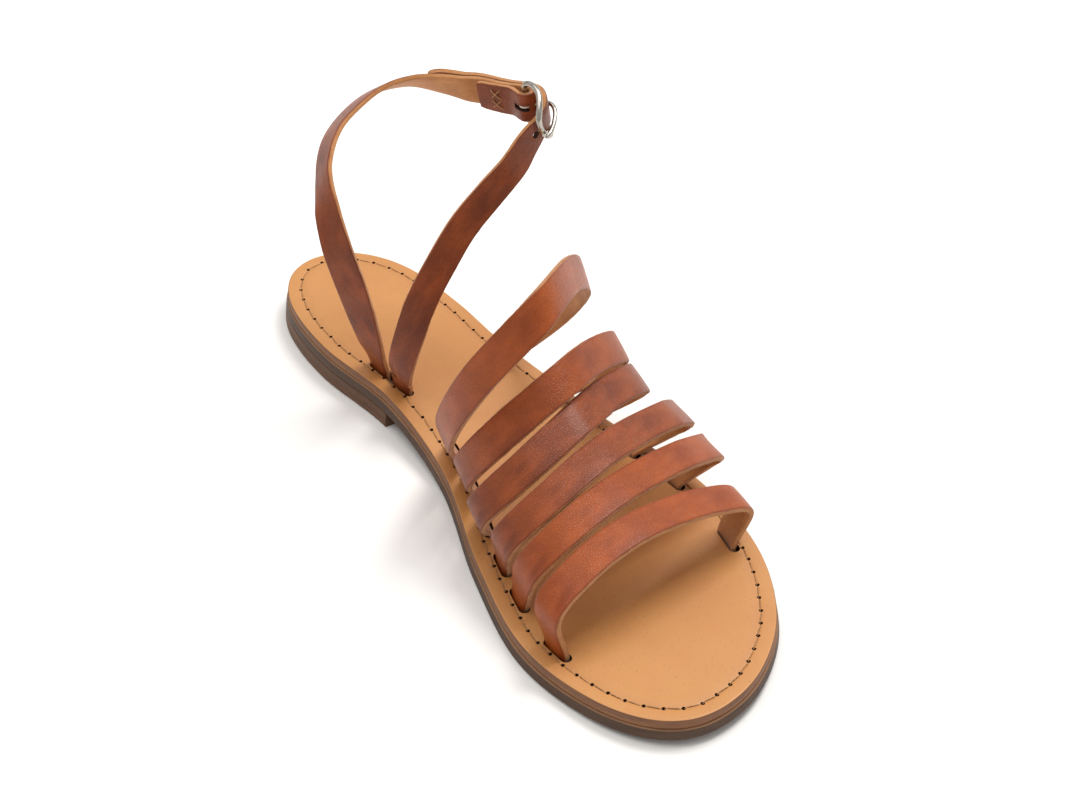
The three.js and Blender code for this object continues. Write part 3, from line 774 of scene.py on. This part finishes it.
# Ankle loop
loop_rows = [
    (ANKLE_X + across * ANKLE_RADIUS, ANKLE_Y + back * ANKLE_RADIUS, rise * ANKLE_HEIGHT)
    for across, back, rise, _, _ in ANKLE_LOOP
]
loop_curve = catmull(loop_rows)
LOOP_SPANS = len(ANKLE_LOOP) - 1
loop_ts = np.linspace(0, 1, LOOP_FINE * LOOP_SPANS + 1)
loop_lengths = running(np.array([loop_curve(t) for t in loop_ts]))
loop_length = loop_lengths[-1]
bar_place = loop_lengths[round(LOOP_FINE * BAR_ROW)]


def loop_frame(place):
    t = float(np.interp(min(max(bar_place + place, 0), loop_length), loop_lengths, loop_ts))
    along = unit(loop_curve(min(t + 1e-4, 1)) - loop_curve(max(t - 1e-4, 0)))
    position = t * LOOP_SPANS
    row = min(int(position), LOOP_SPANS - 1)
    part = position - row
    face, tilt = (
        math.radians(ANKLE_LOOP[row][k] * (1 - part) + ANKLE_LOOP[row + 1][k] * part) for k in (3, 4)
    )
    out = np.array([-math.cos(face) * math.cos(tilt), math.sin(face) * math.cos(tilt), math.sin(tilt)])
    out = unit(out - along * out.dot(along))
    return loop_curve(t), along, out, np.cross(out, along)


def loop_point(place, outwards, aside=0.0):
    at, _, out, across = loop_frame(place)
    return at + out * outwards + across * aside


def loop_station(place, outwards, look, half=ANKLE_STRAP_WIDTH / 2, cup=0.0):
    at, along, out, across = loop_frame(place)
    facing = along * math.cos(look) + out * math.sin(look)
    return at + out * outwards + facing * ANKLE_STRAP_WALL / 2, across, facing, half, cup


BAR_ROUND = WIRE / 2 + BAR_CLEAR * FIT + ANKLE_STRAP_WALL / 2
LAYER_OUT = (ANKLE_STRAP_WALL + FIT) / 2
OVER_LAYER = ANKLE_STRAP_WALL + FIT
STRAIGHT = math.pi / 2


def layer_at(place):
    doubled = ramp(place, -FOLD_LENGTH - FOLD_RAMP, -FOLD_LENGTH)
    return LAYER_OUT * doubled + (BAR_ROUND - LAYER_OUT) * ramp(place, -FOLD_RAMP, 0)


def tip_at(place):
    return (layer_at(place) + OVER_LAYER) * (1 - ramp(place, 0, TIP_SETTLE))


def places(start, end, step):
    count = round(abs(end - start) / step)
    return [start + (end - start) * i / count for i in range(count + 1)]


BACK_LEG, FRONT_LEG = np.array(loop_rows[0]), np.array(loop_rows[-1])
SLOT_WAY = unit((BACK_LEG - FRONT_LEG) * (1, 1, 0))


def ankle_leg(middle):
    """The upper and the lower station of a leg in the slot that both ankle legs share"""
    out = np.cross(UP, SLOT_WAY)
    at = middle + out * ANKLE_STRAP_WALL / 2
    foot = at.copy()
    foot[2] = insole_bottom(middle[1]) + LEG_LIFT
    half = ANKLE_STRAP_WIDTH / 2 * (1 - ANKLE_PINCH)
    return (at, SLOT_WAY, out, half, LEG_CUP), (foot, SLOT_WAY, out, half, LEG_CUP)


def from_leg(stations, upper):
    """Turns the first stations from the leg's way to the loop's own way over a short length"""
    eased = []
    for at, across, out, half, cup in stations:
        share = ramp(np.linalg.norm(at - upper[0]), 0, ANKLE_LEG_REACH)
        along = np.cross(across, out)
        turned = unit(upper[1] * (1 - share) + across * share)
        turned = unit(turned - along * turned.dot(along))
        facing = np.cross(along, turned)
        facing = facing if facing.dot(out) > 0 else -facing
        wide = upper[3] * (1 - share) + half * share
        hollow = upper[4] * (1 - share) + cup * share
        eased.append((at, turned, facing, wide, hollow))
    return eased


def buckle_side():
    upper, lower = ankle_leg(BACK_LEG)
    near_buckle = -FOLD_LENGTH - FOLD_RAMP - FOLD_LEAD
    rise = [loop_station(place, 0, STRAIGHT) for place in places(-bar_place, near_buckle, LOOP_STEP)[1:]]
    outer = [
        loop_station(place, layer_at(place), STRAIGHT) for place in places(near_buckle, 0, BUCKLE_STEP)[1:]
    ]
    bend = []
    for turn in np.linspace(BEND_TURN, -BEND_TURN, BEND_STATIONS):
        a = math.radians(turn)
        bend.append(loop_station(BAR_ROUND * math.cos(a), BAR_ROUND * math.sin(a), a))
    inner = []
    for place in places(0, -FOLD_LENGTH, BUCKLE_STEP):
        taper = ramp(place, -FOLD_LENGTH - 0.1, -FOLD_LENGTH + 1.6)
        half = ANKLE_STRAP_WIDTH / 2 * (0.94 + 0.06 * taper)
        inner.append(loop_station(place, -layer_at(place), -STRAIGHT, half))
    return [lower, upper, *from_leg(rise[1:], upper), *outer, *bend, *inner]


def tip_side():
    end = loop_length - bar_place
    upper, lower = ankle_leg(FRONT_LEG)
    tip = []
    for place in places(-TIP_LENGTH, -TIP_LENGTH + TIP_TAPER, TIP_TAPER / TIP_STATIONS):
        taper = min(max((place + TIP_LENGTH) / TIP_TAPER, 0), 1)
        half = ANKLE_STRAP_WIDTH / 2 * (0.3 + 0.7 * math.sqrt(1 - (1 - taper) ** 2))
        tip.append(loop_station(place, tip_at(place), STRAIGHT, half))
    buckle = [
        loop_station(place, tip_at(place), STRAIGHT)
        for place in places(-TIP_LENGTH + TIP_TAPER, TIP_SETTLE, BUCKLE_STEP)[1:]
    ]
    front = [loop_station(place, 0, STRAIGHT) for place in places(TIP_SETTLE, end, LOOP_STEP)[1:-2]]
    eased = from_leg(front[::-1], upper)[::-1]
    return [*tip, *buckle, *eased, upper, lower]


# Round wires and threads
def tube(path, radii, square, sides, closed=False):
    points = []
    count = len(path)
    for i, point in enumerate(path):
        before = path[i - 1] if closed or i else path[0]
        after = path[(i + 1) % count] if closed or i < count - 1 else path[-1]
        along = unit(after - before)
        first = square - along * square.dot(along)
        if np.linalg.norm(first) < 1e-3:
            first = np.array([1.0, 0, 0]) - along * along[0]
        first = unit(first)
        second = np.cross(along, first)
        for k in range(sides):
            a = 2 * math.pi * (k + 0.5) / sides
            points.append(point + (first * math.cos(a) + second * math.sin(a)) * radii[i])
    return points, tube_faces(count, sides, closed)


def stitch(start, end, out, lean, rise, radius=THREAD / 2, sink=0.5):
    """A thread up out of one hole, along the leather and down into the next"""
    way = unit(end - start)
    aside = np.cross(out, way)
    path = []
    for t in np.linspace(0, 1, STITCH_STEPS):
        lifted = min(t, 1 - t) / 0.22
        height = -sink + (sink + rise) * math.sin(min(lifted, 1) * math.pi / 2)
        path.append(start + (end - start) * (0.06 + 0.88 * t) + aside * lean * (1 - 2 * t) + out * height)
    return tube(path, [radius] * STITCH_STEPS, out, 7)


def fibres(stations, wall):
    """Short loose fibres along a strap's two cut edges"""
    parts = []
    for (at, across, out, half, _), (following, *_) in zip(stations[2:-3], stations[3:-2]):
        along = following - at
        for side in (-1, 1):
            if rng.random() > FIBRE_CHANCE:
                continue
            start = at + along * rng.random() + across * side * (half - 0.06)
            start = start - out * wall * rng.uniform(0.3, 0.95)
            way = unit(across * side + unit(along) * rng.normal() * 0.7 + out * rng.normal() * 0.45)
            length = FIBRE_LENGTH * (0.4 + rng.random() ** 2)
            bend = rng.normal(size=3) * 0.18 * length
            path = [start, start + way * length * 0.5 + bend, start + way * length]
            parts.append(tube(path, FIBRE_RADII, out, 3))
    return parts


# Soles
SOLE_TURNS = [2 * math.pi * i / SOLE_SIDES for i in range(SOLE_SIDES)]
breast = math.acos(1 - 2 * HEEL_BREAST)
HEEL_TURNS = [breast * i / HEEL_SPANS for i in (*range(HEEL_SPANS + 1), *range(-HEEL_SPANS, 0))]


def sole(name, around, profile, bottom, top, materials):
    """A flat body from rings up its edge, closed by strips between its two sides"""
    count = len(around)
    rings = len(profile)
    drift = [sum(math.sin(k * turn + phase) for k, phase in EDGE_WAVES) / len(EDGE_WAVES) for turn in around]
    points, rim_values = [], []
    for level, (out, up, _) in enumerate(profile):
        for i, turn in enumerate(around):
            edge = edge_point(turn, out + EDGE_WAVE * drift[i] * (0.4 if level < rings - 1 else 0))
            low, high = bottom(edge[1]), top(edge[1])
            points.append((edge[0], edge[1], low + (high - low) * up))
            rim_values.append(1.0 if level in (1, 2) else 0.35 if level in (3, rings - 2) else 0.0)
    faces, zones = [], []
    for level in range(rings - 1):
        for i in range(count):
            a, b = level * count + i, level * count + (i + 1) % count
            faces.append((a, b, b + count, a + count))
            zones.append(profile[level][2])
    last = (rings - 1) * count
    # The bottom takes the last look, which on the insole is the painted shade
    for start, zone in ((last, profile[-1][2]), (0, len(materials) - 1)):
        for i in range(count):
            a, c, d, b = i, i + 1, count - i - 1, (count - i) % count
            if i >= count - i - 1:
                break
            corners = [start + k for k in dict.fromkeys((a, c, d, b))]
            faces.append(tuple(corners))
            zones.append(zone)
    return build(name, points, faces, zones, materials, {"rim": ("FLOAT", rim_values)})


def slot_shape(at, across, length, wall):
    """A punched slot with round ends, through the insole"""
    level = unit(np.array([across[0], across[1], 0]))
    inward = -np.cross(UP, level)
    if inward.dot(np.array([1.0, 0, 0])) * (1 if at[0] < 0 else -1) < 0:
        inward = -inward
    half_wide = (SLOT_OUT + wall + SLOT_IN) / 2
    centre = at + inward * (half_wide - SLOT_OUT) - level * (SLOT_FRONT - SLOT_BACK) / 2
    reach = (length + SLOT_FRONT + SLOT_BACK) / 2 - half_wide
    ring = []
    for end in (1, -1):
        for k in range(9):
            a = math.pi * k / 8 - math.pi / 2
            offset = level * end * (reach + half_wide * math.cos(a)) + inward * end * half_wide * math.sin(a)
            ring.append(centre + offset)
    heights = (insole_top(at[1]) + CUT_OVER, insole_bottom(at[1]) - CUT_UNDER)
    points = [(point[0], point[1], height) for height in heights for point in ring]
    return points, tube_faces(2, len(ring))


def hole_shape(centre, out, radius, reach, sides, taper):
    first = unit(np.cross(out, np.array([0.3, 0.9, 0.1])))
    second = np.cross(out, first)
    points = []
    for depth, wide in ((reach, radius), (-reach, radius * taper)):
        for k in range(sides):
            a = 2 * math.pi * k / sides
            points.append(centre + out * depth + (first * math.cos(a) + second * math.sin(a)) * wide)
    return points, tube_faces(2, sides)


def strap_hole(place, reach, taper):
    """A punched hole through the tip half, at a place along the loop"""
    centre, out = loop_point(place, tip_at(place)), loop_frame(place)[2]
    return hole_shape(centre, out, HOLE_WIDTH / 2, reach, HOLE_SIDES, taper)


def cutter(parts, zone, materials):
    points, faces = merge(parts)
    return build("cutter", points, faces, [zone] * len(faces), materials)


fore = [fore_strap(row[:8]) for row in FORE_STRAPS]
strap_pieces = []
fibre_parts = []
for number, ((stations, _), row) in enumerate(zip(fore, FORE_STRAPS), 1):
    fibre_parts += fibres(stations, STRAP_WALL)
    piece = ribbon(f"strap_{number}_leather", stations, STRAP_WALL, row[8])
    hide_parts(f"strap_{number}")
    strap_pieces.append(piece)

back_stations, tip_stations = buckle_side(), tip_side()
ankle_back = ribbon("ankle_buckle_strap_leather", back_stations, ANKLE_STRAP_WALL, 0.85)
ankle_tip = ribbon("ankle_tip_strap_leather", tip_stations, ANKLE_STRAP_WALL, 0.95)
fibre_parts += fibres(back_stations, ANKLE_STRAP_WALL) + fibres(tip_stations, ANKLE_STRAP_WALL)
edge_fibres = round_piece("strap_edge_fibres", fibre_parts, FIBRE_LOOK)
# The walls of the holes and of the slit get look 3, the painted shade
hole_parts = [strap_hole(FREE_HOLE, FREE_HOLE_REACH, HOLE_TAPER), strap_hole(PRONG_HOLE, PRONG_HOLE_REACH, 1)]
cut(ankle_tip, cutter(hole_parts, 3, STRAP_LOOKS))
slit_section = [
    (-SLIT_DEPTH, -SLIT_HALF), (SLIT_DEPTH, -SLIT_HALF), (SLIT_DEPTH, SLIT_HALF), (-SLIT_DEPTH, SLIT_HALF),
]
slit = [loop_point(place, out, aside) for place in (-SLIT_REACH, SLIT_REACH) for out, aside in slit_section]
cut(ankle_back, cutter([(slit, tube_faces(2, 4))], 3, STRAP_LOOKS))
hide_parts("ankle_buckle_side")
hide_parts("ankle_tip_side")
strap_pieces += [ankle_back, ankle_tip]

# Insole with its slots and stitch holes
insole = sole("insole_leather_board", SOLE_TURNS, INSOLE_PROFILE, insole_bottom, insole_top, INSOLE_LOOKS)
slot_parts = [
    slot_shape(foot, across, STRAP_WIDTH, STRAP_WALL) for _, legs in fore for foot, across, *_ in legs
]
slot_middle = (BACK_LEG + FRONT_LEG) / 2 + ankle_leg(BACK_LEG)[0][2] * ANKLE_STRAP_WALL / 2
slot_length = np.linalg.norm(BACK_LEG - FRONT_LEG) + ANKLE_STRAP_WIDTH
slot_parts.append(slot_shape(slot_middle, SLOT_WAY, slot_length, ANKLE_STRAP_WALL))

stitch_turns = np.linspace(0, 2 * math.pi, STITCH_FINE + 1)
stitch_line = np.array([edge_point(turn, -STITCH_INSET) for turn in stitch_turns])
steps = np.linalg.norm(np.diff(stitch_line, axis=0), axis=1)
middles = (stitch_line[1:, 1] + stitch_line[:-1, 1]) / 2
pitches = np.interp(middles, *zip(*STITCH_PITCHES))
counted = np.concatenate([[0], np.cumsum(steps / pitches)])
stitch_count = round(counted[-1])
stitch_places = np.interp(np.arange(stitch_count) * counted[-1] / stitch_count, counted, stitch_turns)
stitch_holes = []
for turn in stitch_places:
    edge = edge_point(turn + rng.normal() * 0.0015, -STITCH_INSET + rng.normal() * 0.09)
    stitch_holes.append(np.array([edge[0], edge[1], insole_top(edge[1]) - GROOVE_DEPTH]))
hole_parts = [hole_shape(hole, UP, STITCH_HOLE / 2, STITCH_HOLE_REACH, 9, 0.7) for hole in stitch_holes]
# The walls of the slots and stitch holes get look 2, the painted shade
cut(insole, cutter(slot_parts, 2, INSOLE_LOOKS))
cut(insole, cutter(hole_parts, 2, INSOLE_LOOKS))
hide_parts("insole")

threads = []
for hole, following in zip(stitch_holes, stitch_holes[1:] + stitch_holes[:1]):
    lean = STITCH_LEAN + rng.normal() * 0.05
    threads.append(stitch(hole, following, UP, lean, STITCH_RISE + rng.normal() * 0.03))
stitching = round_piece("insole_stitching", threads, THREAD_LOOK)

# Two crossed stitches through the folded end
fold_face = -(LAYER_OUT + ANKLE_STRAP_WALL / 2 + 0.05)
fold_threads = []
for low in FOLD_STITCH_ROWS:
    for first, second in (FOLD_STITCH_ENDS, FOLD_STITCH_ENDS[::-1]):
        ends = [loop_point(first, fold_face, low), loop_point(second, fold_face, low + FOLD_STITCH_SPAN)]
        fold_threads.append(stitch(*ends, -loop_frame(FOLD_STITCH_MIDDLE)[2], 0, 0.2, 0.24, 0.3))
fold_stitching = round_piece("fold_stitching", fold_threads, THREAD_LOOK)

# The outsole's top bevel takes the painted highlight look
outsole = sole(
    "outsole_leather", SOLE_TURNS, OUTSOLE_PROFILE, lift_at, lambda y: lift_at(y) + OUTSOLE_WALL,
    [SOLE_SIDE, SOLE_JOINT_HIGHLIGHT, SOLE_SIDE],
)
heel = sole(
    "heel_lift_leather", HEEL_TURNS, HEEL_PROFILE, lambda y: 0, lambda y: lift_at(y) - 0.03,
    [HEEL_SIDE, HEEL_SIDE],
)
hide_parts("outsole")
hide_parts("heel")

# Buckle
half_height = (BUCKLE_HEIGHT - WIRE) / 2
half_wire = [
    (depth * BUCKLE_DEPTH, rise * BUCKLE_RISE, half * half_height) for depth, rise, half in BUCKLE_WIRE
]
wire_rows = half_wire + [(depth, rise, -half) for depth, rise, half in half_wire[-2:0:-1]]
wire_path = [loop_point(*point) for point in spaced(catmull(wire_rows, True), WIRE_STATIONS)[:-1]]
wire_tube = tube(wire_path, [WIRE / 2] * WIRE_STATIONS, loop_frame(0)[2], WIRE_SIDES, True)
buckle = round_piece("buckle_frame_wire", [wire_tube], CHROME)
ring_radius = (WIRE + PRONG_WIRE) / 2 + FIT
prong_rows = [(*row, 0) for row in PRONG_SHANK]
for turn in map(math.radians, PRONG_TURNS):
    prong_rows.append((ring_radius * math.cos(turn), ring_radius * math.sin(turn), 0))
prong_path = [loop_point(along, out) for along, out, _ in spaced(catmull(prong_rows), PRONG_STATIONS)]
from_end = [min(i, PRONG_STATIONS - i) + 0.6 for i in range(PRONG_STATIONS + 1)]
prong_radii = [PRONG_WIRE / 2 * math.sqrt(1 - (1 - min(place, 3) / 3) ** 2) for place in from_end]
prong_tube = tube(prong_path, prong_radii, loop_frame(0)[3], PRONG_SIDES)
prong = round_piece("buckle_prong_wire", [prong_tube], CHROME)
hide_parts("buckle_frame")
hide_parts("buckle_prong")

for piece in (*strap_pieces, edge_fibres, insole, stitching, fold_stitching, outsole, heel, buckle, prong):
    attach(piece, "root")

# Floor
floor_material, node, surface, place = shade("pale_floor")
grey = noise(node, place, 0.25, detail=2.0)
pale = mixed(node, levels(node, grey, 0.3, 0.7), (0.9, 0.89, 0.875, 1), (0.87, 0.86, 0.845, 1))
surface(Base_Color=pale, Roughness=0.9)
FLOOR_REACH = 4
floor_corners = [(x * FLOOR_REACH, y * FLOOR_REACH, 0) for x, y in ((-1, -1), (1, -1), (1, 1), (-1, 1))]
floor_mesh = bpy.data.meshes.new("floor")
floor_mesh.from_pydata(floor_corners, [], [(0, 1, 2, 3)])
floor_mesh.materials.append(floor_material)
floor = bpy.data.objects.new("floor", floor_mesh)
bpy.context.scene.collection.objects.link(floor)

# Camera
CAMERA_AT = Vector((-0.2409, -0.3947, 0.3824))
CAMERA_AIM = Vector((0.0098, 0.0039, 0.020))
CAMERA_LENS = 61.7
CAMERA_SENSOR = 36
camera = bpy.data.objects.new("camera", bpy.data.cameras.new("camera"))
camera.location = CAMERA_AT
camera.rotation_euler = (CAMERA_AIM - CAMERA_AT).to_track_quat("-Z", "Y").to_euler()
camera.data.sensor_width = CAMERA_SENSOR
camera.data.lens = CAMERA_LENS
camera.data.clip_start = 0.01
bpy.context.scene.collection.objects.link(camera)
bpy.context.scene.camera = camera


# Light
def area_light(name, towards, distance, size, power, colour):
    data = bpy.data.lights.new(name, "AREA")
    data.shape = "RECTANGLE"
    data.size, data.size_y = size
    data.energy = power
    data.color = colour
    light = bpy.data.objects.new(name, data)
    direction = Vector(towards).normalized()
    light.location = direction * distance
    light.rotation_euler = (-direction).to_track_quat("-Z", "Y").to_euler()
    bpy.context.scene.collection.objects.link(light)


area_light("window", (0.46, 0.08, 0.88), 1.5, (0.7, 0.5), 14, (1, 0.985, 0.96))
area_light("ceiling", (-0.1, 0.15, 1), 1.8, (1.8, 1.8), 15, (1, 0.99, 0.975))
world = bpy.data.worlds.new("studio")
world.use_nodes = True
world.node_tree.nodes["Background"].inputs["Color"].default_value = (1, 0.985, 0.965, 1)
world.node_tree.nodes["Background"].inputs["Strength"].default_value = 0.6
bpy.context.scene.world = world
bpy.context.scene.view_settings.view_transform = "Standard"
